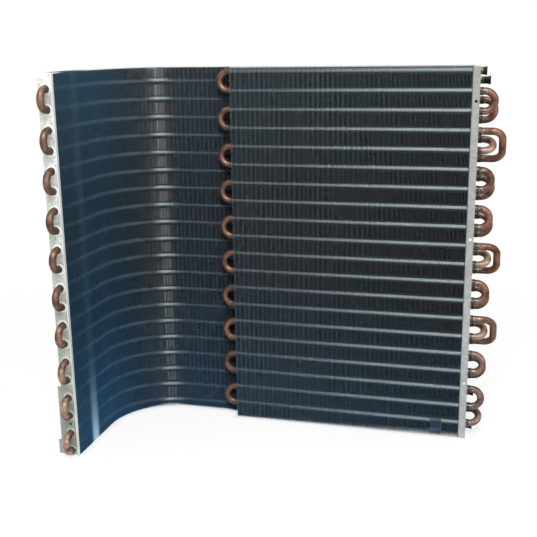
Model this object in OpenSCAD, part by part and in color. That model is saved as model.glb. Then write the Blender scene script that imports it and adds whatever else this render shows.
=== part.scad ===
// Finned condenser coil of an outdoor unit: an L-shaped outer row of finned tubes,
// a shorter flat inner row in front of its long leg, and an end plate at either end.
// Millimetres, +Z up. It stands on its bottom edge, and the origin is at the middle of its foot.

/* [Tubes] */
// Outside diameter of the copper tubes
tube_d = 9.52; // [7:0.01:12]
// Wall of the copper tubes
tube_wall = 0.4; // [0.3:0.05:0.8]
// Height from one tube of a row to the next
tube_pitch = 25.4; // [24:0.1:32]
// Straight stretch of a hairpin between the fins and its bend
hairpin_straight = 4.2; // [2:0.1:15]

/* [Fins] */
// Depth of one row of fins
row_depth = 22; // [20:0.1:30]
// Length of the flat inner row
inner_length = 322; // [150:1:380]
// Length of the outer row up to its bend
outer_length = 402; // [400:1:900]
// Radius of the outer row's bend, to the middle of the row
row_bend_r = 102; // [70:1:200]
// Length of the short leg past the bend
leg_length = 101; // [40:1:300]
// Distance from one fin to the next
fin_pitch = 4; // [3.5:0.1:8]
// Thickness of a fin
fin_t = 0.3; // [0.2:0.05:0.6]
// Wall of the collar that each fin forms round a tube
collar_wall = 0.3; // [0.2:0.05:0.6]

/* [End plates] */
// Thickness of the end plates' sheet
plate_t = 1.2; // [0.8:0.1:2]
// Width of the right plate's folded flange
right_flange_w = 10; // [8:0.5:25]
// Width of the left plate's folded flange
left_flange_w = 6.5; // [4:0.5:25]
// Inside radius of a flange's fold
fold_r = 0.8; // [0.4:0.1:2]
// Height of the lip that is drawn up round each tube's hole
lip_h = 1; // [0.4:0.1:1.5]
// Wall of that lip
lip_wall = 0.6; // [0.3:0.1:1]
// Diameter of the screw holes
screw_d = 4; // [2:0.1:5]
// Screw hole's distance from the plate's face, along the flange
screw_in = 5.8; // [5.5:0.1:7]
// Depths of the flange's screw holes below the top edge
screw_drops = [44, 224, 427]; // [20:1:470]
// How far the left plate's ear stands out past the fins
ear_w = 4.4; // [2:0.1:15]
// Height of the ear
ear_h = 97; // [50:1:200]
// How far the foot tab stands out past the fins
foot_w = 8.5; // [5:0.1:25]
// Height of the foot tab
foot_h = 20; // [10:1:45]

/* [Right-hand tube ends] */
// Bare tube between the right plate and the swage of a socket
tube_stub = 2.3; // [1:0.1:10]
// Depth of the socket that takes a return bend
socket_depth = 8; // [5:0.5:12]
// Length of the swage between the tube and its socket
swage = 1.5; // [0.8:0.1:3]
// Length of the inner row's open end, past the right plate
inner_open = 16.3; // [10:0.1:60]
// Length of the outer row's open end, past the right plate
outer_open = 20.8; // [10:0.1:60]
// Length of the two outlets low in the outer row, past the right plate
outlet_open = 16.5; // [10:0.1:60]
// Length of the flare on an open end
flare_length = 4.5; // [2:0.1:7]
// How far the flare opens, on the radius
flare_rise = 1; // [0.4:0.1:2]

/* [Return bends] */
// Radius of the bending tool, to the middle of the tube
die_r = 12.7; // [9:0.1:14]
// Straight leg of a return bend past its socket
return_stand = 3; // [0.5:0.1:20]
// Straight leg of the lowest bend, which sits closer, past its socket
link_stand = 0.5; // [0.2:0.1:20]

/* [Fits] */
// Gap between a tube and its collar in the fins, on the radius
tube_fit = 0.1; // [0.08:0.01:0.3]
// Gap between a tube and its hole in an end plate, on the radius
plate_fit = 0.3; // [0.1:0.05:1]
// Gap for the braze between a return bend and its socket, on the radius
braze_gap = 0.1; // [0.05:0.01:0.25]
// Gap between a collar and the next fin in the bend
collar_gap = 0.05; // [0.02:0.01:0.2]
// Gap between the two bends of a crossover, where one passes over the other
crossover_gap = 2.5; // [1:0.1:20]

/* [Hidden] */
$fn = 64;
tubes = 20;
hairpins = tubes / 2;
// Tubes of either row that a plain return bend joins to the next tube below
plain_joins = [[2, 6, 8, 12, 16, 18], [2, 6, 8, 12, 16]];
// Tubes where the two rows change places, each to the next tube below
crossings = [4, 10, 14];
// Tubes of the outer row where the two circuits leave. Both come in at the top, one in each row
outlets = [tubes - 2, tubes];
// Rows: the inner one lies in front, the outer one behind
INNER = 0;
OUTER = 1;
// Cuts run this far past a face, so that no skin is left
past = 1;
// Shortest straight worth making between the corners of a return bend
least_straight = 1;

tube_r = tube_d / 2;
bore_r = tube_r + tube_fit;
collar_r = bore_r + collar_wall;
socket_r = tube_r + braze_gap;
socket_x = plate_t + tube_stub + swage;
height = tubes * tube_pitch;
row_y = [-row_depth / 2, row_depth / 2];
// Share of a pitch between the top edge and the first tube, which staggers the rows
row_drop = [0.25, 0.75];
leg_x = -outer_length - row_bend_r;
leg_start_y = row_y[OUTER] - row_bend_r;
leg_end_y = leg_start_y - leg_length;
hairpin_r = tube_pitch / 2;

// Tube to tube across the rows, under and over at a crossover
under_spacing = norm([row_depth, (row_drop[OUTER] - row_drop[INNER]) * tube_pitch]);
over_spacing = norm([row_depth, (1 + row_drop[OUTER] - row_drop[INNER]) * tube_pitch]);
return_leg = socket_depth + return_stand;
over_leg = return_leg + bend_r(under_spacing) + tube_d + crossover_gap - bend_r(over_spacing);

reach_right = socket_x + over_leg + bend_r(over_spacing) + tube_r;
reach_left = row_depth / 2 + foot_w - leg_x;
reach_front = hairpin_straight + hairpin_r + tube_r - leg_end_y;
foot_middle = [(reach_right - reach_left) / 2, (row_depth - reach_front) / 2, 0];

// How far a tube stands out past the right plate where it ends open, and 0 where it ends in a socket
function open_length(row, i) =
    i == 1 ? (row == INNER ? inner_open : outer_open) :
    row == OUTER && len(search(i, outlets)) > 0 ? outlet_open : 0;
function two_digits(k) = str(k < 10 ? "0" : "", k);
function names(stem, count) = [for (k = [1:count]) str(stem, "_", two_digits(k))];
function tube_z(row, i) = height - tube_pitch * (i - 1 + row_drop[row]);
// A return bend is one half ring unless the bending tool leaves a straight between two corners
function bend_r(spacing) = spacing - 2 * die_r < least_straight ? spacing / 2 : die_r;

INNER_HAIRPINS = names("inner_hairpin", hairpins);
OUTER_HAIRPINS = names("outer_hairpin", hairpins);
INNER_RETURNS = names("inner_return_bend", len(plain_joins[INNER]));
OUTER_RETURNS = names("outer_return_bend", len(plain_joins[OUTER]));
OVER_BENDS = names("crossover_over", len(crossings));
UNDER_BENDS = names("crossover_under", len(crossings));

// Moves the model from the corner of its fins to the middle of its foot
module placed() {
    translate(-foot_middle)
        children();
}

// Fins

// Outline of one row across the tubes, less a round at each tube
module row_section(row, r, grow = 0) {
    difference() {
        translate([-row_depth / 2 - grow, -grow])
            square([row_depth + 2 * grow, height + 2 * grow]);
        for (i = [1:tubes])
            translate([0, tube_z(row, i)])
                circle(r = r);
    }
}

// A straight stack of fins along +Z, each at the end of its own collars
module fin_stack(row, length) {
    count = round(length / fin_pitch);
    step = length / count;
    difference() {
        linear_extrude(length)
            row_section(row, bore_r);
        for (k = [0:count - 1])
            translate([0, 0, k * step - (k == 0 ? past : 0)])
                linear_extrude(step - fin_t + (k == 0 ? past : 0))
                    row_section(row, collar_r, past);
    }
}

// One fin along +Z, from the rims of its collars at 0 to its face at depth
module single_fin(row, depth, bore) {
    difference() {
        linear_extrude(depth)
            row_section(row, bore);
        translate([0, 0, -past])
            linear_extrude(depth - fin_t + past)
                row_section(row, bore + collar_wall, past);
    }
}

module inner_fin_pack() {
    color("darkslategray")
        translate([0, row_y[INNER], 0])
            rotate([90, 0, -90])
                fin_stack(INNER, inner_length);
}

module outer_fin_pack() {
    color("darkslategray")
        translate([0, row_y[OUTER], 0])
            rotate([90, 0, -90])
                fin_stack(OUTER, outer_length);
}

// Flat fins that fan out round the bend, with room in the collars for the tubes' curve
module outer_fin_bend() {
    count = round(row_bend_r * PI / 2 / fin_pitch);
    step = 90 / count;
    depth = (row_bend_r - row_depth / 2) * tan(step) - collar_gap;
    bow = pow(depth, 2) / (2 * row_bend_r);
    color("steelblue")
        translate([-outer_length, leg_start_y, 0])
            for (k = [1:count])
                rotate([0, 0, k * step])
                    translate([depth, row_bend_r, 0])
                        rotate([90, 0, -90])
                            single_fin(OUTER, depth, bore_r + bow);
}

module outer_fin_leg() {
    color("steelblue")
        translate([leg_x, leg_start_y, 0])
            rotate([90, 0, 0])
                fin_stack(OUTER, leg_length);
}

// End plates

// Section of a sheet along +Y with a flange along +X, its outer corner at the origin
module folded_section(web, flange_w) {
    outer_r = fold_r + plate_t;
    translate([0, outer_r])
        square([plate_t, web - outer_r]);
    translate([outer_r, 0])
        square([flange_w - outer_r, plate_t]);
    intersection() {
        translate([outer_r, outer_r])
            difference() {
                circle(r = outer_r);
                circle(r = fold_r);
            }
        square(outer_r);
    }
}

// Clearance holes through a plate that lies at the start of +X, for one row's tubes
module tube_holes(row) {
    for (i = [1:tubes])
        translate([-past, 0, tube_z(row, i)])
            rotate([0, 90, 0])
                cylinder(r = tube_r + plate_fit, h = plate_t + lip_h + 2 * past);
}

// Lips round those holes, on the outside of the plate, before the holes are cut
module tube_lips(row) {
    for (i = [1:tubes])
        translate([0, 0, tube_z(row, i)])
            rotate([0, 90, 0])
                cylinder(r = tube_r + plate_fit + lip_wall, h = plate_t + lip_h);
}

module right_end_plate() {
    color("lightgray")
        difference() {
            union() {
                translate([0, -row_depth, 0])
                    linear_extrude(height)
                        folded_section(2 * row_depth, right_flange_w);
                for (row = [INNER, OUTER])
                    translate([0, row_y[row], 0])
                        tube_lips(row);
            }
            for (row = [INNER, OUTER])
                translate([0, row_y[row], 0])
                    tube_holes(row);
            for (drop = screw_drops)
                translate([screw_in, -row_depth - past, height - drop])
                    rotate([-90, 0, 0])
                        cylinder(d = screw_d, h = plate_t + 2 * past);
        }
}

// Drawn as the right one is, with its flange at the inner edge of the row,
// and a screw hole between its two lowest hairpins
module left_end_plate() {
    hole_z = (tube_z(OUTER, tubes - 2) + tube_z(OUTER, tubes - 1)) / 2;
    color("lightgray")
        translate([leg_x, leg_end_y, 0])
            rotate([0, 0, -90])
                mirror([0, 1, 0])
                    difference() {
                        union() {
                            translate([0, -row_depth / 2, 0])
                                linear_extrude(height)
                                    folded_section(row_depth, left_flange_w);
                            tube_lips(OUTER);
                            translate([0, row_depth / 2, 0])
                                cube([plate_t, ear_w, ear_h]);
                            translate([0, row_depth / 2, 0])
                                cube([plate_t, foot_w, foot_h]);
                        }
                        tube_holes(OUTER);
                        translate([-past, 0, hole_z])
                            rotate([0, 90, 0])
                                cylinder(d = screw_d, h = plate_t + 2 * past);
                    }
}

// Tubes

module tube_ring() {
    difference() {
        circle(r = tube_r);
        circle(r = tube_r - tube_wall);
    }
}

module straight_tube(length) {
    rotate([0, 90, 0])
        linear_extrude(length)
            tube_ring();
}

// An arc of tube round the origin, from one angle to another
module tube_arc(r, from, to) {
    rotate([0, 0, from])
        rotate_extrude(angle = to - from)
            translate([r, 0])
                tube_ring();
}

// Wall of a straight tube along +Y that ends in a socket
function socket_wall(length) = [
    [tube_r, 0],
    [tube_r, length - socket_depth - swage],
    [socket_r + tube_wall, length - socket_depth],
    [socket_r + tube_wall, length],
    [socket_r, length],
    [socket_r, length - socket_depth],
    [tube_r - tube_wall, length - socket_depth - swage],
    [tube_r - tube_wall, 0]
];

// Wall of a straight tube along +Y that ends in a flare
function flare_wall(length) = [
    [tube_r, 0],
    [tube_r, length - flare_length],
    [tube_r + flare_rise, length],
    [tube_r + flare_rise - tube_wall, length],
    [tube_r - tube_wall, length - flare_length],
    [tube_r - tube_wall, 0]
];

// A tube along +X from the origin, turned from its wall
module turned_tube(wall) {
    rotate([0, 90, 0])
        rotate_extrude()
            polygon(wall);
}

// A bend out along +X and back, a spacing further along +Y, with equal legs
module return_bend(spacing, leg) {
    r = bend_r(spacing);
    between = spacing - 2 * r;
    straight_tube(leg);
    translate([0, spacing, 0])
        straight_tube(leg);
    translate([leg, r, 0])
        tube_arc(r, -90, between > 0 ? 0 : 90);
    if (between > 0) {
        translate([leg, r + between, 0])
            tube_arc(r, 0, 90);
        translate([leg + r, r, 0])
            rotate([0, 0, 90])
                straight_tube(between);
    }
}

// A return bend in the sockets of two tubes, each given as its row and its number
module joining_bend(row_a, a, row_b, b, leg) {
    across = row_y[row_b] - row_y[row_a];
    rise = tube_z(row_b, b) - tube_z(row_a, a);
    translate([socket_x, row_y[row_a], tube_z(row_a, a)])
        rotate([atan2(rise, across), 0, 0])
            return_bend(norm([across, rise]), leg);
}

// A return bend from a tube to the next one below, in the same row
module plain_bend(row, i) {
    joining_bend(row, i, row, i + 1, return_leg);
}

// Right-hand stretch of a tube, along +X from a point that lies start before the fins' end
module tube_end(row, i, start) {
    open = open_length(row, i);
    if (open > 0)
        turned_tube(flare_wall(start + plate_t + open));
    else
        turned_tube(socket_wall(start + socket_x + socket_depth));
}

// Half ring from a tube to the next one below, out along +X from the upper tube's end
module hairpin_arc() {
    rotate([-90, 0, 0])
        translate([0, hairpin_r, 0])
            tube_arc(hairpin_r, -90, 90);
}

module inner_hairpin(k) {
    upper = 2 * k - 1;
    start = inner_length + hairpin_straight;
    color("peru")
        translate([-start, row_y[INNER], 0]) {
            for (i = [upper, upper + 1])
                translate([0, 0, tube_z(INNER, i)])
                    tube_end(INNER, i, start);
            translate([0, 0, tube_z(INNER, upper)])
                mirror([1, 0, 0])
                    hairpin_arc();
        }
}

module outer_hairpin(k) {
    upper = 2 * k - 1;
    straight = leg_length + hairpin_straight;
    color("peru") {
        for (i = [upper, upper + 1])
            translate([-outer_length, row_y[OUTER], tube_z(OUTER, i)]) {
                tube_end(OUTER, i, outer_length);
                translate([0, -row_bend_r, 0])
                    tube_arc(row_bend_r, 90, 180);
                translate([-row_bend_r, -row_bend_r, 0])
                    rotate([0, 0, -90])
                        straight_tube(straight);
            }
        translate([leg_x, leg_start_y - straight, tube_z(OUTER, upper)])
            rotate([0, 0, -90])
                hairpin_arc();
    }
}

module inner_return_bend(k) {
    color("chocolate")
        plain_bend(INNER, plain_joins[INNER][k - 1]);
}

module outer_return_bend(k) {
    color("chocolate")
        plain_bend(OUTER, plain_joins[OUTER][k - 1]);
}

// The wide bend from the inner row down to the outer, over the narrow one
module crossover_over(k) {
    color("sienna")
        joining_bend(INNER, crossings[k - 1], OUTER, crossings[k - 1] + 1, over_leg);
}

// The narrow bend from the outer row down to the inner, under the wide one
module crossover_under(k) {
    color("sienna")
        joining_bend(OUTER, crossings[k - 1], INNER, crossings[k - 1] + 1, return_leg);
}

// The bend from the inner row's lowest tube up to the outer row's last but one
module bottom_link() {
    color("chocolate")
        joining_bend(INNER, tubes, OUTER, tubes - 1, socket_depth + link_stand);
}

placed() inner_fin_pack();
placed() outer_fin_pack();
placed() outer_fin_bend();
placed() outer_fin_leg();
placed() right_end_plate();
placed() left_end_plate();
for (k = [1:hairpins]) {
    placed() inner_hairpin(k);
    placed() outer_hairpin(k);
}
for (k = [1:len(INNER_RETURNS)])
    placed() inner_return_bend(k);
for (k = [1:len(OUTER_RETURNS)])
    placed() outer_return_bend(k);
for (k = [1:len(crossings)]) {
    placed() crossover_over(k);
    placed() crossover_under(k);
}
placed() bottom_link();
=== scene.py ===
# A two-row finned condenser coil bent to an L: foil fins at true pitch, copper tubes and zinc end plates.
import math

import bpy
import numpy as np
from mathutils import Matrix, Vector


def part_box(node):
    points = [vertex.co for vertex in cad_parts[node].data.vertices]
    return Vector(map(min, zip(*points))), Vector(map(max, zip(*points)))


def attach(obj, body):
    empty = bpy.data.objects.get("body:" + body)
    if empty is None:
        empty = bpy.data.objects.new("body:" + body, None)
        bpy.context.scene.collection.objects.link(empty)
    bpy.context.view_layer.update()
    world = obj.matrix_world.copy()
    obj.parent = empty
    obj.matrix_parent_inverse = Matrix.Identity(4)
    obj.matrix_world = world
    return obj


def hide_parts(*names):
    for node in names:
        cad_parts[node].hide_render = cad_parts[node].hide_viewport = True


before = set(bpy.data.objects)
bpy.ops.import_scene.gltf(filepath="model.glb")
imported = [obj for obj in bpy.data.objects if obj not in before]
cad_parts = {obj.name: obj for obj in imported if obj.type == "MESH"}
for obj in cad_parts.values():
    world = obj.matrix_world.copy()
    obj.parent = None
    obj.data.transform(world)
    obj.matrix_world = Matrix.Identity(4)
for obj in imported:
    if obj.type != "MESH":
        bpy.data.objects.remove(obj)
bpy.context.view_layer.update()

MM = 0.001
UP = Vector((0.0, 0.0, 1.0))
WHOLE_TURN = 2.0 * math.pi
QUARTER_TURN = 0.5 * math.pi

# Tubes, counted from the top, and those that end open at the right
TUBES = 20
TUBE_PITCH = 25.4 * MM
TUBE_R = 4.76 * MM
TUBE_SIDES = 24
INNER_FIRST_DROP = 0.25 * TUBE_PITCH
OUTER_FIRST_DROP = 0.75 * TUBE_PITCH
OPEN_INNER = (1,)
OPEN_OUTER = (1, 18, 20)
BEND_STEPS = 24

# Foil fins and their collars
FIN_PITCH = 1.69 * MM
FIN_T = 0.13 * MM
FIN_LEVELS = 25
FIN_CREASE = 1.5 * MM
CREASE_GROWTH = 0.12
CREASE_AT = (0.36, 0.68)
FIN_LEAN = 0.14 * MM
FIN_SHIFT = 0.06 * MM
FIN_SWAY = 0.06 * MM
SLOW_WAVE = 14.0
QUICK_WAVE = 47.0
SLOW_SHARE = 0.6
COLLAR_WALL = 0.3 * MM

# Patch of flattened fins low on the inner row's front, measured from the right plate and from the floor
DENT_X = (-41.4 * MM, -24.3 * MM)
DENT_Z = (7.5 * MM, 22.5 * MM)
DENT_LEAN = 2.2 * MM
DENT_SINK = 1.3 * MM
DENT_RIM = 2.0 * MM
DENT_STEP = 1.5 * MM
DENT_DEPTH = 6.0 * MM
# Share of painted sheen on the fronts of the patch's fins
DENT_SHEEN = 0.9

# Braze fillets: lengths along a socket's mouth and the radius there, in millimetres, and their unevenness
BRAZE_PROFILE = ((-0.3, 5.28), (0.1, 5.42), (0.6, 5.22), (1.3, 4.78))
BRAZE_SIZES = (0.7, 1.25)
BRAZE_SWELL = 0.012
BRAZE_SEED = 11

# Camera, in the frame's own axes
CAMERA_AT = (0.289014, -1.108701, 0.547569)
CAMERA_YAW = -0.2646
CAMERA_PITCH = -0.2534
CAMERA_ROLL = -0.0146
CAMERA_FOCAL_PX = 896.26
IMAGE_PX = 537
SENSOR_MM = 36.0

# Floor and light. A lamp has a name, a place, a width and a power in watts
FLOOR_REACH = 9.0
FLOOR_FADE = (0.3, 1.1)
FLOOR_NEAR_SHARE = 0.75
CONTACT_SHADOW = (1.0 * MM, 8.0 * MM)
WORLD_LIGHT = 0.35
BACKDROP = 1.0
LAMP_AIM = Vector((0.0, 0.0, 0.25))
LAMPS = (
    ("key", Vector((0.30, -1.5, 1.9)), 0.8, 52.0),
    ("fill", Vector((1.9, -0.9, 1.0)), 1.4, 14.0),
    ("top", Vector((-0.3, 0.5, 2.2)), 1.6, 14.0),
)

# Boxes of the rows and the right plate, and what follows from them
inner_lo, inner_hi = (Vector(corner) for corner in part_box("inner_fin_pack"))
outer_lo, outer_hi = (Vector(corner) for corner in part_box("outer_fin_pack"))
leg_lo, leg_hi = (Vector(corner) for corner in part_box("outer_fin_leg"))
right_lo = Vector(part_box("right_end_plate")[0])
TOP = inner_hi.z
ROW_DEPTH = inner_hi.y - inner_lo.y
INNER_Y = 0.5 * (inner_lo.y + inner_hi.y)
OUTER_Y = 0.5 * (outer_lo.y + outer_hi.y)
BEND_CENTRE = Vector((outer_lo.x, leg_hi.y, 0.0))
BEND_INNER_R = outer_lo.y - leg_hi.y
BEND_MIDDLE_R = BEND_INNER_R + 0.5 * ROW_DEPTH
SOCKET_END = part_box("inner_hairpin_05")[1][0]
LEFT_FACE = leg_lo.y - 1.35 * MM

# Painted highlight band low on the leg's inner face, and how far it reaches behind and before that face
LEG_HIGHLIGHT_Y = leg_hi.y - 51.0 * MM
LEG_HIGHLIGHT_HALF = 13.0 * MM
LEG_HIGHLIGHT_TOP = 190.0 * MM
LEG_HIGHLIGHT_DEPTH = (6.0 * MM, 15.0 * MM)

# Painted reflection of the tubes as a pale line along each tube on the fins: its rise and half width, first
# at the short leg and then on the long rows
LINE_LEVEL = 550.0 * MM
LINE_RISE = (0.021, 0.009)
LINE_HALF = (4.0 * MM, 2.1 * MM)
LINE_CORE = 0.4 * MM
LINE_ON_BEND = 0.36
LINE_ON_LEG = 0.35
TOP_LINE_SHRINK = 0.33

# Fins that stand out from their neighbours as stripes
STRIPE_PITCH = 4.0 * FIN_PITCH
STRIPE_DRIFT = 4.0

# Where marks fade round the bend, as angles from the long row
STRIPE_FADE = (0.45, 0.9)
COLLAR_HIGHLIGHT_FADE = (math.radians(21.0), math.radians(30.0))
LINE_FADE = (math.radians(40.0), math.radians(70.0))
CREASE_LIGHT_FADE = (math.radians(42.0), math.radians(60.0))

# Painted highlight on the collars' upper side, from where to where below a tube's middle, and its share on
# the top tube
COLLAR_HIGHLIGHT_ABOVE = (-4.0 * MM, -2.8 * MM)
COLLAR_HIGHLIGHT_BELOW = (-0.4 * MM, 0.8 * MM)
TOP_COLLAR_HIGHLIGHT = 0.55

# Near-white band on the fins' top edge, and how it fades on the leg from the left plate and toward the bend
PALE_TOP = 0.7 * MM
PALE_BY_PLATE = (leg_lo.y + 8.0 * MM, leg_lo.y + 25.0 * MM)
PALE_BY_BEND = (leg_hi.y - 30.0 * MM, leg_hi.y + 20.0 * MM)

# Painted bounce light from the floor: a blue band along the outer row's foot
BOUNCE_BAND = (3.0 * MM, 9.0 * MM)

# Marks on the copper: heat oxide by the sockets and darker ends past them, painted shade by the left plate
# and the fins, a changed tone low down
HEAT_FADE = (SOCKET_END + 3.0 * MM, SOCKET_END + 13.0 * MM)
END_DARK_FADE = (SOCKET_END - 3.0 * MM, SOCKET_END + 1.0 * MM)
PLATE_SHADE = (leg_lo.y - 13.0 * MM, leg_lo.y - 4.0 * MM)
FIN_SHADE = (inner_lo.x - 11.0 * MM, inner_lo.x - 3.0 * MM)
HEAT_SHARE = 0.92
SHADE_SHARE = 0.65
LOW_TONE_FADE = (50.0 * MM, 220.0 * MM)
LOW_TONE_SHARE = 0.7

# Painted highlights on the lips round the left plate's holes
LIP_HIGHLIGHT_FADE = (TUBE_R + 2.4 * MM, TUBE_R + 3.2 * MM)


# Shader graphs

class Graph:
    """The nodes of one material, with short calls that add a node and give back its output."""

    def __init__(self, name):
        self.material = bpy.data.materials.new(name)
        self.material.use_nodes = True
        self.tree = self.material.node_tree
        self.shader = self.tree.nodes["Principled BSDF"]

    def node(self, kind, inputs, **settings):
        made = self.tree.nodes.new(kind)
        for key, value in settings.items():
            setattr(made, key, value)
        for key, value in inputs.items():
            self.feed(made.inputs[key], value)
        return made

    def feed(self, socket, value):
        if isinstance(value, bpy.types.NodeSocket):
            self.tree.links.new(value, socket)
        else:
            socket.default_value = value

    def set(self, **inputs):
        for key, value in inputs.items():
            self.feed(self.shader.inputs[key.replace("_", " ")], value)

    def math(self, operation, first, second=0.0):
        return self.node("ShaderNodeMath", {0: first, 1: second}, operation=operation).outputs[0]

    def product(self, first, *others):
        total = first
        for other in others:
            total = self.math("MULTIPLY", total, other)
        return total

    def difference(self, first, second):
        return self.math("SUBTRACT", first, second)

    def absolute(self, value):
        return self.math("ABSOLUTE", value)

    def hypotenuse(self, first, second):
        squares = self.math("ADD", self.product(first, first), self.product(second, second))
        return self.math("SQRT", squares)

    def place(self):
        return self.node("ShaderNodeTexCoord", {}).outputs["Object"]

    def axes(self):
        return self.node("ShaderNodeSeparateXYZ", {"Vector": self.place()}).outputs

    def stretched(self, scale):
        return self.node("ShaderNodeMapping", {"Vector": self.place(), "Scale": scale}).outputs[0]

    def noise(self, scale, detail=3.0, rough=0.5, vector=None):
        inputs = {"Vector": vector or self.place(), "Scale": scale, "Detail": detail, "Roughness": rough}
        return self.node("ShaderNodeTexNoise", inputs).outputs["Fac"]

    def cells(self, scale):
        inputs = {"Vector": self.place(), "Scale": scale}
        return self.node("ShaderNodeTexVoronoi", inputs).outputs["Color"]

    def spread(self, value, low, high, to_low=0.0, to_high=1.0):
        """The value's place between low and high, as a number from to_low to to_high."""
        inputs = {"Value": value, "From Min": low, "From Max": high, "To Min": to_low, "To Max": to_high}
        return self.node("ShaderNodeMapRange", inputs, clamp=True).outputs[0]

    def fall(self, value, start, stop):
        """1 up to start, then down to 0 at stop."""
        return self.spread(value, stop, start)

    def mix(self, factor, first, second, blend="MIX"):
        inputs = {"Factor": factor, 6: first, 7: second}
        return self.node("ShaderNodeMix", inputs, data_type="RGBA", blend_type=blend).outputs[2]

    def bump(self, height, strength, distance):
        inputs = {"Height": height, "Strength": strength, "Distance": distance}
        return self.node("ShaderNodeBump", inputs).outputs[0]


def colour(red, green, blue):
    return (red, green, blue, 1.0)


# Marks that the materials share

def below_tube(graph, first_drop, height):
    """How far a height lies below the tube that is nearest to it."""
    down = graph.difference(TOP - first_drop + 0.5 * TUBE_PITCH, height)
    return graph.difference(graph.math("FLOORED_MODULO", down, TUBE_PITCH), 0.5 * TUBE_PITCH)


def bend_sides(graph):
    """How far a point lies left of the bend's axis and behind it, 0 where the row runs on straight."""
    axes = graph.axes()
    left = graph.math("MAXIMUM", graph.difference(BEND_CENTRE.x, axes["X"]), 0.0)
    back = graph.math("MAXIMUM", graph.difference(axes["Y"], BEND_CENTRE.y), 0.0)
    return left, back


def bend_angle(graph):
    """How far round the bend a point lies: 0 on the long rows and a right angle on the short leg."""
    return graph.math("ARCTAN2", *bend_sides(graph))


def painted_leg_highlight(graph):
    """1 on the painted highlight band down the leg's inner face, strongest near the floor."""
    axes = graph.axes()
    behind, before = LEG_HIGHLIGHT_DEPTH
    off_line = graph.absolute(graph.difference(axes["Y"], LEG_HIGHLIGHT_Y))
    beside = graph.fall(off_line, 0.3 * LEG_HIGHLIGHT_HALF, LEG_HIGHLIGHT_HALF)
    fading = graph.math("POWER", graph.fall(axes["Z"], 0.0, LEG_HIGHLIGHT_TOP), 4.0)
    uneven = graph.spread(graph.noise(24.0), 0.35, 0.65, 0.7, 1.0)
    inside = graph.math("GREATER_THAN", axes["X"], leg_hi.x - behind)
    on_leg = graph.math("LESS_THAN", axes["X"], leg_hi.x + before)
    return graph.product(beside, graph.math("ADD", fading, 0.02), uneven, inside, on_leg)


def painted_tube_reflection(graph, first_drop):
    """1 on the pale line painted on the fins along each tube as its reflection, fainter toward the short
    leg.
    """
    axes = graph.axes()
    # Below LINE_LEVEL the painted line lies a little above its tube, and the top one spreads up to the fins'
    # edge
    rise = graph.spread(axes["Y"], leg_lo.y, outer_lo.y, *LINE_RISE)
    lift = graph.product(graph.difference(LINE_LEVEL, axes["Z"]), rise)
    below = below_tube(graph, first_drop, graph.difference(axes["Z"], lift))
    top_tube = TOP - INNER_FIRST_DROP
    shrink = graph.spread(axes["Z"], top_tube, top_tube + 0.5 * MM, 1.0, TOP_LINE_SHRINK)
    away = graph.product(graph.absolute(below), shrink)
    half = graph.spread(axes["X"], leg_hi.x, outer_lo.x, *LINE_HALF)
    on_bend = graph.spread(axes["X"], leg_hi.x, leg_hi.x + 0.5 * BEND_INNER_R, LINE_ON_BEND, 1.0)
    on_leg = graph.spread(axes["Y"], leg_lo.y, leg_hi.y, LINE_ON_LEG, 1.0)
    return graph.product(graph.fall(away, LINE_CORE, half), on_bend, on_leg)


def paler_reflection_zone(graph):
    """1 where the painted tube reflections stay paler on the foil past the collars' painted highlight,
    fading toward the leg.
    """
    angle = bend_angle(graph)
    return graph.product(graph.spread(angle, *COLLAR_HIGHLIGHT_FADE), graph.fall(angle, *LINE_FADE))


def worn_streaks(graph):
    """Slow upright noise that the fins of a stack share."""
    return graph.noise(14.0, 3.0, 0.6, graph.stretched((1.0, 1.0, 0.25)))


def stripes(graph):
    """1 on the fins that stand out from their neighbours, less round the bend and toward the right end."""
    across = graph.axes()["X"]
    angle = bend_angle(graph)
    straight = graph.math("MAXIMUM", across, BEND_CENTRE.x)
    along = graph.difference(straight, graph.product(angle, BEND_MIDDLE_R))
    turns = graph.product(along, WHOLE_TURN / STRIPE_PITCH)
    drifted = graph.math("ADD", turns, graph.product(worn_streaks(graph), STRIPE_DRIFT))
    wave = graph.spread(graph.math("SINE", drifted), -0.6, 1.0)
    calm = graph.spread(across, inner_lo.x, inner_hi.x, 1.0, 0.3)
    return graph.product(wave, graph.fall(angle, *STRIPE_FADE), calm)


def painted_crease_light(graph):
    """How much painted light lies in the creases round the bend, standing for light through the fin gaps:
    more so high up.
    """
    axes = graph.axes()
    start, peak = CREASE_AT
    depth = graph.difference(graph.hypotenuse(*bend_sides(graph)), BEND_INNER_R)
    front = graph.spread(depth, start * ROW_DEPTH, (start + 0.1) * ROW_DEPTH)
    before_peak = graph.math("LESS_THAN", depth, peak * ROW_DEPTH)
    left = graph.math("LESS_THAN", axes["X"], BEND_CENTRE.x)
    back = graph.math("GREATER_THAN", axes["Y"], BEND_CENTRE.y)
    mottle = graph.spread(graph.noise(45.0, 4.0, 0.6), 0.35, 0.65, 0.55, 1.0)
    high = graph.spread(axes["Z"], 0.2 * TOP, 0.6 * TOP, 0.4, 1.0)
    begun = graph.fall(bend_angle(graph), *CREASE_LIGHT_FADE)
    return graph.product(front, before_peak, left, back, mottle, high, begun)


def painted_dent_sheen(graph):
    """How much painted sheen lies on the fronts of the fins in the pressed patch, where they face the light.
    """
    axes = graph.axes()
    start, stop = (right_lo.x + edge for edge in DENT_X)
    half_rim = 0.5 * DENT_RIM
    low, high = DENT_Z
    return graph.product(
        DENT_SHEEN,
        graph.math("GREATER_THAN", axes["X"], start - DENT_LEAN),
        graph.math("LESS_THAN", axes["X"], stop + DENT_LEAN),
        graph.spread(axes["Z"], low - half_rim, low + half_rim),
        graph.fall(axes["Z"], high - half_rim, high + half_rim),
        graph.math("LESS_THAN", axes["Y"], inner_lo.y + DENT_DEPTH),
    )


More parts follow.
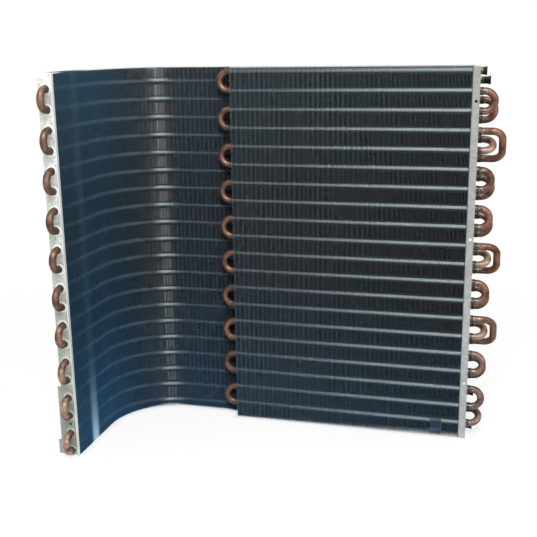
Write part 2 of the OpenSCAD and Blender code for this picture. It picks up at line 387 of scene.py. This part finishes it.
def pale_top_edge(graph):
    """1 on the fins' top edge, apart from the middle of the leg."""
    axes = graph.axes()
    by_plate = graph.fall(axes["Y"], *PALE_BY_PLATE)
    by_bend = graph.spread(axes["Y"], *PALE_BY_BEND)
    edge = graph.spread(axes["Z"], TOP - PALE_TOP, TOP - 0.5 * PALE_TOP)
    return graph.product(edge, graph.math("MAXIMUM", by_plate, by_bend))


# Materials

def fin_foil(name, first_drop, line_tone, line_share, stripe_share):
    """Foil under a thin blue coat, dusty in upright streaks, with painted light: a reflection as a pale line
    along each tube, bounce light low down, light in the bend's creases, sheen on the pressed patch and a
    highlight band on the leg.
    """
    graph = Graph(name)
    height = graph.axes()["Z"]
    patch = graph.noise(9.0, 4.0)
    streak = graph.noise(60.0, 3.0, 0.6, graph.stretched((4.0, 4.0, 0.25)))
    clean = graph.mix(patch, colour(0.007, 0.050, 0.112), colour(0.010, 0.066, 0.145))
    # Painted bounce light: the coat is bluer low down, toward the floor, and darker higher up
    coat_bounce_lit = graph.mix(graph.spread(height, 0.0, 0.6 * TOP), clean, colour(0.015, 0.045, 0.070))
    # Darker at mid-height than at the top and the foot
    off_middle = graph.absolute(graph.difference(height, 0.5 * TOP))
    height_tone = graph.mix(1.0, coat_bounce_lit, graph.spread(off_middle, 0.15 * TOP, 0.45 * TOP, 0.65, 1.0), "MULTIPLY")
    dusty = graph.mix(graph.spread(streak, 0.5, 0.75, 0.0, 0.4), height_tone, colour(0.036, 0.060, 0.080))
    stripe = stripes(graph)
    striped = graph.mix(graph.product(stripe, stripe_share), dusty, colour(0.120, 0.135, 0.145))
    beads = graph.spread(stripe, 0.0, 1.0, line_share * (1.0 - 0.5 * stripe_share), line_share)
    # Painted reflection of the tubes: a pale line along each, paler past the collars' painted highlight
    tone = graph.mix(paler_reflection_zone(graph), colour(*line_tone), colour(0.200, 0.310, 0.390))
    lined = graph.mix(graph.product(painted_tube_reflection(graph, first_drop), beads), striped, tone)
    # Painted sheen on the pressed patch's fin fronts
    pressed = graph.mix(painted_dent_sheen(graph), lined, colour(0.110, 0.175, 0.300))
    # Painted light through the fin gaps, on the creases round the bend
    crease_lit = graph.mix(painted_crease_light(graph), pressed, colour(0.800, 0.860, 0.830))
    # Painted highlight band on the leg's inner face, strongest near the floor
    leg_highlit = graph.mix(painted_leg_highlight(graph), crease_lit, colour(0.520, 0.800, 1.000))
    pale_topped = graph.mix(pale_top_edge(graph), leg_highlit, colour(0.900, 0.910, 0.910))
    graph.set(Base_Color=pale_topped, Metallic=0.0, Specular_IOR_Level=0.36)
    graph.set(Roughness=graph.spread(patch, 0.2, 0.8, 0.22, 0.32))
    return graph.material


def fin_edge(name, first_drop, dark, pale_tone, bounce_band_share):
    """The foil's cut edge, darker or lighter by turns, so that some fins stand out from their neighbours."""
    graph = Graph(name)
    height = graph.axes()["Z"]
    striped = graph.mix(stripes(graph), colour(*dark), colour(*pale_tone))
    # Painted bounce light makes the edges bluer toward the floor, and they grow lighter toward the top
    blue = graph.mix(graph.spread(height, 0.0, 0.4 * TOP), colour(1.1, 1.60, 2.1), colour(1.0, 1.0, 1.0))
    tint = graph.mix(graph.spread(height, 0.7 * TOP, TOP), blue, colour(1.45, 1.42, 1.38))
    tone = graph.mix(1.0, striped, tint, "MULTIPLY")
    # Painted bounce light: a blue band along the outer row's foot
    bounce_band_tone = graph.mix(graph.product(graph.fall(height, *BOUNCE_BAND), bounce_band_share), tone, colour(0.030, 0.190, 0.400))
    # Painted reflection of the tubes along the cut edges
    line = graph.product(painted_tube_reflection(graph, first_drop), 0.7)
    lined = graph.mix(line, bounce_band_tone, colour(0.400, 0.465, 0.500))
    # Painted highlight band on the leg's inner face, strongest near the floor
    leg_highlit = graph.mix(painted_leg_highlight(graph), lined, colour(0.500, 0.620, 0.720))
    pale_topped = graph.mix(pale_top_edge(graph), leg_highlit, colour(0.900, 0.910, 0.910))
    graph.set(Base_Color=pale_topped, Metallic=0.0)
    graph.set(Roughness=graph.spread(worn_streaks(graph), 0.3, 0.8, 0.35, 0.55))
    return graph.material


def collar_foil(name, first_drop):
    """The drawn collars round the tubes: dark under the coat, with a painted highlight on their upper side
    that ends in the bend.
    """
    graph = Graph(name)
    height = graph.axes()["Z"]
    patch = graph.noise(22.0, 4.0)
    highlight_tone = graph.mix(patch, colour(0.420, 0.520, 0.555), colour(0.510, 0.610, 0.645))
    below = below_tube(graph, first_drop, height)
    # Painted highlight: pale on each collar's upper side, dark below
    upper = graph.spread(below, *COLLAR_HIGHLIGHT_ABOVE)
    lower = graph.fall(below, *COLLAR_HIGHLIGHT_BELOW)
    highlight_kept = graph.fall(bend_angle(graph), *COLLAR_HIGHLIGHT_FADE)
    under_top = (TOP - 2.0 * INNER_FIRST_DROP, TOP - 1.6 * INNER_FIRST_DROP)
    top_tube = graph.spread(height, *under_top, 1.0, TOP_COLLAR_HIGHLIGHT)
    highlit_share = graph.product(lower, upper, highlight_kept, top_tube)
    tone = graph.mix(highlit_share, colour(0.030, 0.050, 0.060), highlight_tone)
    graph.set(Base_Color=tone, Metallic=0.1, Roughness=graph.spread(patch, 0.2, 0.8, 0.45, 0.6))
    return graph.material


def low_toned(graph, own):
    """The copper's own tone, but greyer low at the right end and paler low at the short leg."""
    axes = graph.axes()
    low = graph.product(graph.fall(axes["Z"], *LOW_TONE_FADE), LOW_TONE_SHARE)
    past_plate = graph.math("GREATER_THAN", axes["X"], right_lo.x)
    at_leg = graph.math("LESS_THAN", axes["Y"], leg_lo.y)
    greyed = graph.mix(graph.product(low, past_plate), own, colour(0.245, 0.188, 0.172))
    return graph.mix(graph.product(low, at_leg), greyed, colour(0.560, 0.370, 0.290))


def heated(graph, tone, speck):
    """The tone, with specked oxide where the torch heated the copper by the sockets."""
    along = graph.axes()["X"]
    past_plate = graph.math("GREATER_THAN", along, right_lo.x)
    dark = colour(0.022, 0.016, 0.014)
    oxide = graph.mix(graph.spread(speck, 0.38, 0.66), dark, colour(0.325, 0.262, 0.225))
    return graph.mix(graph.product(graph.fall(along, *HEAT_FADE), past_plate, HEAT_SHARE), tone, oxide)


def painted_copper_shade(graph):
    """How much painted shade darkens the copper where it enters the left plate and the inner row's fins."""
    axes = graph.axes()
    on_leg = graph.math("LESS_THAN", axes["Y"], leg_hi.y)
    before_plate = graph.math("LESS_THAN", axes["X"], right_lo.x)
    by_plate = graph.product(graph.spread(axes["Y"], *PLATE_SHADE), on_leg)
    by_fins = graph.product(graph.spread(axes["X"], *FIN_SHADE), before_plate)
    return graph.product(graph.math("MAXIMUM", by_plate, by_fins), SHADE_SHARE)


def copper(name, clean, brown, end_dark_share):
    """Drawn copper that has dulled: brown blotches, dark specks and oxide, with painted shade where it
    enters the left plate and the fins, and darker open ends.
    """
    graph = Graph(name)
    blotch = graph.noise(80.0, 5.0, 0.6)
    speck = graph.noise(420.0, 3.0, 0.65)
    hue = graph.node("ShaderNodeObjectInfo", {}).outputs["Random"]
    own = graph.mix(graph.spread(hue, 0.0, 1.0, 0.0, 0.5), colour(*clean), colour(0.260, 0.148, 0.098))
    dulled = graph.mix(graph.spread(blotch, 0.40, 0.66), low_toned(graph, own), colour(*brown))
    spotted = graph.mix(graph.spread(speck, 0.60, 0.76), dulled, colour(0.060, 0.034, 0.024))
    # Painted shade where the copper enters the left plate and the fins
    shade_darkened = graph.mix(painted_copper_shade(graph), heated(graph, spotted, speck), colour(0.055, 0.034, 0.024))
    # Darker past the sockets, at the open ends
    end_dark = graph.product(graph.spread(graph.axes()["X"], *END_DARK_FADE), end_dark_share)
    end_darkened = graph.mix(end_dark, shade_darkened, colour(0.014, 0.011, 0.010))
    graph.set(Base_Color=end_darkened, Metallic=0.85, Roughness=graph.spread(blotch, 0.3, 0.75, 0.40, 0.66))
    graph.set(Normal=graph.bump(speck, 0.25, 0.3 * MM))
    return graph.material


def painted_lip_highlights(graph):
    """How much painted highlight lies on the left plate: round its drawn holes, more so high up, and where
    it stands proud.
    """
    axes = graph.axes()
    across = graph.difference(axes["X"], BEND_CENTRE.x - BEND_MIDDLE_R)
    from_tube = graph.hypotenuse(across, below_tube(graph, OUTER_FIRST_DROP, axes["Z"]))
    kept = graph.spread(axes["Z"], 0.1 * TOP, 0.5 * TOP, 0.25, 0.8)
    ring = graph.product(graph.fall(from_tube, *LIP_HIGHLIGHT_FADE), kept)
    proud = graph.math("LESS_THAN", axes["Y"], LEFT_FACE)
    return graph.math("MAXIMUM", ring, graph.product(proud, 0.6))


def galvanised(name, high, low, highlight_mask=None):
    """Zinc-coated sheet: grey crystals and specks, a tone that changes with height, and painted highlights
    where a mask is given.
    """
    graph = Graph(name)
    spangle = graph.node("ShaderNodeSeparateColor", {"Color": graph.cells(95.0)}).outputs[0]
    cloud = graph.noise(14.0, 4.0)
    grain = graph.noise(240.0, 4.0, 0.7)
    # The tone changes with height, from the high colour to the low one
    height_tone = graph.mix(graph.fall(graph.axes()["Z"], 0.1 * TOP, TOP), colour(*high), colour(*low))
    crystal = graph.mix(graph.spread(spangle, 0.0, 1.0, 0.0, 0.34), height_tone, colour(0.160, 0.165, 0.160))
    dull = graph.mix(graph.spread(cloud, 0.45, 0.8, 0.0, 0.5), crystal, colour(0.240, 0.245, 0.200))
    tone = graph.mix(graph.spread(grain, 0.47, 0.70, 0.0, 0.55), dull, colour(0.150, 0.155, 0.130))
    if highlight_mask:
        # Painted highlight where the mask is given
        tone = graph.mix(highlight_mask(graph), tone, colour(0.860, 0.890, 0.890))
    graph.set(Base_Color=tone, Metallic=0.35, Roughness=graph.spread(spangle, 0.0, 1.0, 0.34, 0.5))
    graph.set(Normal=graph.bump(cloud, 0.15, 0.6 * MM))
    return graph.material


def braze():
    """The filler metal that ran round each socket."""
    graph = Graph("braze")
    lump = graph.noise(260.0, 4.0, 0.6)
    tone = graph.mix(lump, colour(0.026, 0.020, 0.017), colour(0.120, 0.088, 0.070))
    graph.set(Base_Color=tone, Metallic=0.8, Roughness=graph.spread(lump, 0.3, 0.7, 0.35, 0.6))
    graph.set(Normal=graph.bump(lump, 0.5, 0.4 * MM))
    return graph.material


# Pieces

def add_piece(name, mesh, node=None):
    """A new piece on the coil, with the finish its mesh carries. It may stand for a node of the model, which
    it then hides.
    """
    piece = bpy.data.objects.new(name, mesh)
    bpy.context.scene.collection.objects.link(piece)
    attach(piece, "root")
    if node:
        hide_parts(node)
    return piece


def smooth_mesh(name, verts, faces, material):
    mesh = bpy.data.meshes.new(name)
    mesh.from_pydata(verts, [], faces)
    mesh.materials.append(material)
    mesh.shade_smooth()
    return mesh


def dress(node, material):
    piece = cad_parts[node]
    piece.data.materials.clear()
    piece.data.materials.append(material)


# Fins

def fin_columns():
    """Depths across a fin, and how far its crease stands to one side there: flat, then out and back."""
    start, peak = CREASE_AT
    depths = ROW_DEPTH * np.array([0.0, start, peak, 1.0])
    return depths, np.array([0.0, 0.0, -FIN_CREASE, 0.0])


def fin_faces(columns, levels):
    """Quads of one thin fin: both sides, then the cut edge all round. The second list marks the edge."""
    def corner(side, column, level):
        return (side * columns + column) * levels + level

    sides = []
    for column in range(columns - 1):
        for level in range(levels - 1):
            square = [(column, level), (column + 1, level), (column + 1, level + 1), (column, level + 1)]
            sides.append([corner(0, *at) for at in square])
            sides.append([corner(1, *at) for at in reversed(square)])
    ring = [(column, 0) for column in range(columns)]
    ring += [(columns - 1, level) for level in range(1, levels)]
    ring += [(column, levels - 1) for column in range(columns - 2, -1, -1)]
    ring += [(0, level) for level in range(levels - 2, 0, -1)]
    edges = []
    for at, after in zip(ring, ring[1:] + ring[:1]):
        edges.append([corner(1, *at), corner(1, *after), corner(0, *after), corner(0, *at)])
    return np.array(sides + edges), np.array([0] * len(sides) + [1] * len(edges))


def sway(random, fins, heights):
    """How far each fin wanders out of its plane: a shift of its own, and a slow and a quick wave up it."""
    shift = random.uniform(-FIN_SHIFT, FIN_SHIFT, (fins, 1))
    phase = random.uniform(0.0, WHOLE_TURN, (fins, 2))
    slow = np.sin(heights * SLOW_WAVE + phase[:, :1])
    quick = np.sin(heights * QUICK_WAVE + phase[:, 1:])
    return shift + FIN_SWAY * (SLOW_SHARE * slow + (1.0 - SLOW_SHARE) * quick)


def fin_stack(name, node, stations, heights, materials, seed, dent=None):
    """One mesh of a node's fins. A station is a fin's front foot, its depth axis and its stacking axis."""
    depths, offsets = fin_columns()
    feet, inward, along = (np.array(part, float) for part in zip(*stations))
    fins = len(stations)
    shape = (fins, len(depths), len(heights))
    random = np.random.default_rng(seed)
    wander = sway(random, fins, heights)
    slant = random.uniform(-FIN_LEAN, FIN_LEAN, (fins, 1, 1)) * (depths / ROW_DEPTH)[None, :, None]
    deepen = 1.0 + CREASE_GROWTH * (1.0 - heights / TOP)
    lean = offsets[None, :, None] * deepen + wander[:, None, :] + slant
    deep = np.broadcast_to(depths[None, :, None], shape).copy()
    if dent is not None:
        pressed = dent(feet, heights)
        lean[:, 0, :] += pressed * DENT_LEAN
        deep[:, 0, :] += pressed * DENT_SINK
    points = np.zeros((fins, 2) + shape[1:] + (3,))
    for side, half in enumerate((0.5 * FIN_T, -0.5 * FIN_T)):
        across = (lean + half)[..., None] * along[:, None, None, :]
        points[:, side] = feet[:, None, None, :] + deep[..., None] * inward[:, None, None, :] + across
        points[:, side, :, :, 2] += heights
    quads, kinds = fin_faces(len(depths), len(heights))
    step = 2 * len(depths) * len(heights)
    faces = (quads[None] + step * np.arange(fins)[:, None, None]).reshape(-1, 4)
    mesh = bpy.data.meshes.new(name)
    mesh.from_pydata(points.reshape(-1, 3).tolist(), [], faces.tolist())
    for material in materials:
        mesh.materials.append(material)
    mesh.polygons.foreach_set("material_index", np.tile(kinds, fins))
    return add_piece(name, mesh, node)


def spaced(start, stop):
    """Middles of the fins that fill the length from start to stop."""
    count = round(abs(stop - start) / FIN_PITCH)
    return [start + (stop - start) * (index + 0.5) / count for index in range(count)]


def straight_stations(low, high):
    return [((x, low.y, 0.0), (0.0, 1.0, 0.0), (1.0, 0.0, 0.0)) for x in spaced(low.x, high.x)]


def leg_stations():
    return [((leg_hi.x, y, 0.0), (-1.0, 0.0, 0.0), (0.0, 1.0, 0.0)) for y in spaced(leg_lo.y, leg_hi.y)]


def bend_outward(angle):
    """The level direction away from the bend's axis, at an angle from the long row."""
    return Vector((-math.sin(angle), math.cos(angle), 0.0))


def bend_stations():
    made = []
    for arc in spaced(0.0, QUARTER_TURN * BEND_MIDDLE_R):
        angle = arc / BEND_MIDDLE_R
        outward = bend_outward(angle)
        along = Vector((math.cos(angle), math.sin(angle), 0.0))
        made.append((BEND_CENTRE + BEND_INNER_R * outward, outward, along))
    return made


def pressed_patch(feet, heights):
    """1 where the fins are flattened, fading over the patch's rim."""
    start, stop = (right_lo.x + edge for edge in DENT_X)
    low, high = DENT_Z
    across = np.clip(np.minimum(feet[:, 0] - start, stop - feet[:, 0]) / DENT_RIM + 0.5, 0.0, 1.0)
    up = np.clip(np.minimum(heights - low, high - heights) / DENT_RIM + 0.5, 0.0, 1.0)
    return across[:, None] * up[None, :]


def dent_heights():
    """Even steps up the fin, with closer ones where the patch is."""
    low, high = DENT_Z
    at_foot = [low - DENT_STEP, low + DENT_STEP]
    at_head = [high - DENT_STEP, high + DENT_STEP]
    fine = at_foot + [0.5 * (low + high)] + at_head
    coarse = np.linspace(2.0 * TUBE_PITCH, TOP, FIN_LEVELS - 1).tolist()
    return np.array([0.0] + fine + [1.3 * TUBE_PITCH] + coarse)


# Collars

def tube_heights(first_drop):
    return [TOP - first_drop - index * TUBE_PITCH for index in range(TUBES)]


def band_faces(start):
    """Quads between the ring of points that starts at start and the next ring."""
    made = []
    for side in range(TUBE_SIDES):
        after = (side + 1) % TUBE_SIDES
        made.append((start + side, start + after, start + TUBE_SIDES + after, start + TUBE_SIDES + side))
    return made


def ring_turns():
    return [WHOLE_TURN * side / TUBE_SIDES for side in range(TUBE_SIDES)]


def add_collars(name, node, routes, material):
    """Open sleeves swept along level routes: each ring stands square to its route."""
    radius = TUBE_R + COLLAR_WALL
    verts = []
    faces = []
    for route in routes:
        first = len(verts)
        for at, (point, across) in enumerate(route):
            for turn in ring_turns():
                verts.append(point + radius * (math.cos(turn) * across + math.sin(turn) * UP))
            if at:
                faces += band_faces(first + (at - 1) * TUBE_SIDES)
    add_piece(name, smooth_mesh(name, verts, faces, material), node)


def inner_routes():
    across = Vector((0.0, 1.0, 0.0))
    ends = (inner_lo.x, inner_hi.x)
    return [[(Vector((x, INNER_Y, z)), across) for x in ends] for z in tube_heights(INNER_FIRST_DROP)]


def outer_routes():
    made = []
    for z in tube_heights(OUTER_FIRST_DROP):
        route = [(Vector((outer_hi.x, OUTER_Y, z)), bend_outward(0.0))]
        for step in range(BEND_STEPS + 1):
            outward = bend_outward(QUARTER_TURN * step / BEND_STEPS)
            route.append((BEND_CENTRE + BEND_MIDDLE_R * outward + z * UP, outward))
        route.append((Vector((BEND_CENTRE.x - BEND_MIDDLE_R, leg_lo.y, z)), Vector((-1.0, 0.0, 0.0))))
        made.append(route)
    return made


# Braze fillets

def add_braze(material):
    """A bead round the mouth of every socket, a little uneven from one to the next."""
    random = np.random.default_rng(BRAZE_SEED)
    verts = []
    faces = []
    rows = ((INNER_Y, INNER_FIRST_DROP, OPEN_INNER), (OUTER_Y, OUTER_FIRST_DROP, OPEN_OUTER))
    for y, first_drop, open_tubes in rows:
        for number, z in enumerate(tube_heights(first_drop), 1):
            if number in open_tubes:
                continue
            first = len(verts)
            size = random.uniform(*BRAZE_SIZES)
            lobes = random.uniform(0.0, WHOLE_TURN)
            for along, radius in BRAZE_PROFILE:
                x = SOCKET_END + along * size * MM
                for turn in ring_turns():
                    reach = radius * (1.0 + BRAZE_SWELL * math.sin(2.0 * turn + lobes)) * MM
                    verts.append((x, y + reach * math.cos(turn), z + reach * math.sin(turn)))
            for ring in range(len(BRAZE_PROFILE) - 1):
                faces += band_faces(first + ring * TUBE_SIDES)
    mesh = smooth_mesh("braze_fillets", verts, faces, material)
    add_piece("braze_fillets", mesh)


# Stage

def add_camera():
    data = bpy.data.cameras.new("camera")
    data.sensor_width = SENSOR_MM
    data.lens = SENSOR_MM * CAMERA_FOCAL_PX / IMAGE_PX
    camera = bpy.data.objects.new("camera", data)
    level = math.cos(CAMERA_PITCH)
    forward = Vector((math.sin(CAMERA_YAW) * level, math.cos(CAMERA_YAW) * level, math.sin(CAMERA_PITCH)))
    flat_right = Vector((math.cos(CAMERA_YAW), -math.sin(CAMERA_YAW), 0.0))
    flat_up = flat_right.cross(forward)
    right = math.cos(CAMERA_ROLL) * flat_right + math.sin(CAMERA_ROLL) * flat_up
    up = math.cos(CAMERA_ROLL) * flat_up - math.sin(CAMERA_ROLL) * flat_right
    turn = Matrix((right, up, -forward)).transposed().to_4x4()
    camera.matrix_world = Matrix.Translation(CAMERA_AT) @ turn
    bpy.context.scene.collection.objects.link(camera)
    bpy.context.scene.camera = camera


def seen_directly(tree):
    """1 on camera, glossy and transmission rays, which show the backdrop, and 0 on the rays that light."""
    path = tree.nodes.new("ShaderNodeLightPath").outputs
    total = path["Is Camera Ray"]
    for kind in ("Is Glossy Ray", "Is Transmission Ray"):
        joined = tree.nodes.new("ShaderNodeMath")
        joined.operation = "MAXIMUM"
        tree.links.new(total, joined.inputs[0])
        tree.links.new(path[kind], joined.inputs[1])
        total = joined.outputs[0]
    return total


def outside(graph, low, high):
    """0 on the floor under a straight row and 1 a few millimetres away from it."""
    axes = graph.axes()
    gaps = []
    for key, least, most in (("X", low.x, high.x), ("Y", low.y, high.y)):
        off_middle = graph.absolute(graph.difference(axes[key], 0.5 * (least + most)))
        gaps.append(graph.difference(off_middle, 0.5 * (most - least)))
    return graph.spread(graph.math("MAXIMUM", *gaps), *CONTACT_SHADOW)


def outside_bent(graph):
    """The same for the row that is bent: it keeps one distance from the bend's axis and runs on straight."""
    axes = graph.axes()
    off_middle = graph.absolute(graph.difference(graph.hypotenuse(*bend_sides(graph)), BEND_MIDDLE_R))
    beside = graph.difference(off_middle, 0.5 * ROW_DEPTH)
    right_end = graph.difference(axes["X"], outer_hi.x)
    left_end = graph.difference(leg_lo.y, axes["Y"])
    gap = graph.math("MAXIMUM", beside, graph.math("MAXIMUM", right_end, left_end))
    return graph.spread(gap, *CONTACT_SHADOW)


def floor_material():
    """A pale floor that shows as backdrop, but keeps the coil's shadow under and near it."""
    graph = Graph("floor")
    graph.set(Base_Color=colour(0.9, 0.9, 0.9), Roughness=0.9, Specular_IOR_Level=0.1)
    away = graph.node("ShaderNodeVectorMath", {0: graph.place()}, operation="LENGTH").outputs["Value"]
    share = graph.spread(away, *FLOOR_FADE, FLOOR_NEAR_SHARE, 1.0)
    beyond = graph.product(outside(graph, inner_lo, inner_hi), outside_bent(graph))
    shown = graph.product(seen_directly(graph.tree), share, beyond)
    glow = graph.node("ShaderNodeEmission", {}).outputs[0]
    mixed = graph.node("ShaderNodeMixShader", {0: shown, 1: graph.shader.outputs[0], 2: glow})
    graph.feed(graph.tree.nodes["Material Output"].inputs[0], mixed.outputs[0])
    return graph.material


def add_floor():
    mesh = bpy.data.meshes.new("floor")
    signs = ((-1, -1), (1, -1), (1, 1), (-1, 1))
    mesh.from_pydata([(x * FLOOR_REACH, y * FLOOR_REACH, 0.0) for x, y in signs], [], [(0, 1, 2, 3)])
    mesh.materials.append(floor_material())
    floor = bpy.data.objects.new("floor", mesh)
    bpy.context.scene.collection.objects.link(floor)


def add_world():
    world = bpy.data.worlds.new("studio")
    world.use_nodes = True
    tree = world.node_tree
    background = tree.nodes["Background"]
    strength = tree.nodes.new("ShaderNodeMapRange")
    strength.inputs["To Min"].default_value = WORLD_LIGHT
    strength.inputs["To Max"].default_value = BACKDROP
    tree.links.new(seen_directly(tree), strength.inputs["Value"])
    background.inputs["Color"].default_value = colour(1.0, 1.0, 1.0)
    tree.links.new(strength.outputs[0], background.inputs["Strength"])
    bpy.context.scene.world = world


def add_lamp(name, at, size, watts):
    data = bpy.data.lights.new(name, "AREA")
    data.shape = "DISK"
    data.size = size
    data.energy = watts
    lamp = bpy.data.objects.new(name, data)
    lamp.location = at
    lamp.rotation_euler = (LAMP_AIM - at).to_track_quat("-Z", "Y").to_euler()
    bpy.context.scene.collection.objects.link(lamp)


# Building

add_camera()

even_heights = np.linspace(0.0, TOP, FIN_LEVELS)
inner_edge = fin_edge("inner_fin_edge", INNER_FIRST_DROP, dark=(0.100, 0.120, 0.132),
                      pale_tone=(0.215, 0.238, 0.250), bounce_band_share=0.0)
outer_edge = fin_edge("outer_fin_edge", OUTER_FIRST_DROP, dark=(0.088, 0.106, 0.122),
                      pale_tone=(0.215, 0.238, 0.262), bounce_band_share=1.0)
inner_foil = fin_foil("inner_fin_foil", INNER_FIRST_DROP, line_tone=(0.290, 0.345, 0.375),
                      line_share=0.8, stripe_share=0.5)
outer_foil = fin_foil("outer_fin_foil", OUTER_FIRST_DROP, line_tone=(0.075, 0.180, 0.280),
                      line_share=0.86, stripe_share=0.18)
inner_finish = [inner_foil, inner_edge]
outer_finish = [outer_foil, outer_edge]
inner_stations = straight_stations(inner_lo, inner_hi)
outer_stations = straight_stations(outer_lo, outer_hi)
fin_stack("inner_fins", "inner_fin_pack", inner_stations, dent_heights(), inner_finish, seed=1,
          dent=pressed_patch)
fin_stack("outer_fins", "outer_fin_pack", outer_stations, even_heights, outer_finish, seed=2)
fin_stack("bend_fins", "outer_fin_bend", bend_stations(), even_heights, outer_finish, seed=3)
fin_stack("leg_fins", "outer_fin_leg", leg_stations(), even_heights, outer_finish, seed=4)

inner_collar = collar_foil("inner_collar_foil", INNER_FIRST_DROP)
outer_collar = collar_foil("outer_collar_foil", OUTER_FIRST_DROP)
add_collars("inner_collars", "inner_fin_pack", inner_routes(), inner_collar)
add_collars("outer_collars", "outer_fin_pack", outer_routes(), outer_collar)

tube_copper = copper("tube_copper", clean=(0.205, 0.112, 0.077), brown=(0.070, 0.043, 0.033), end_dark_share=1.0)
pale_copper = copper("pale_copper", clean=(0.500, 0.345, 0.235), brown=(0.230, 0.150, 0.102), end_dark_share=0.0)
bend_copper = copper("bend_copper", clean=(0.245, 0.104, 0.066), brown=(0.082, 0.040, 0.028), end_dark_share=0.0)
# Painted light: the plates are lit and shaded copies of one zinc, the left near white high up and darker
# toward the floor, the right duller
lit_left_zinc = galvanised("lit_left_zinc", high=(0.960, 0.970, 0.930), low=(0.345, 0.380, 0.305), highlight_mask=painted_lip_highlights)
shaded_right_zinc = galvanised("shaded_right_zinc", high=(0.330, 0.328, 0.303), low=(0.410, 0.440, 0.455))
plates = {"left_end_plate": lit_left_zinc, "right_end_plate": shaded_right_zinc}
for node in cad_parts:
    if "hairpin" in node:
        dress(node, tube_copper)
    elif node in plates:
        dress(node, plates[node])
    elif "under" in node:
        dress(node, pale_copper)
    elif "fin" not in node:
        dress(node, bend_copper)
add_braze(braze())

add_floor()
add_world()
for lamp in LAMPS:
    add_lamp(*lamp)

bpy.context.scene.view_settings.view_transform = "Standard"
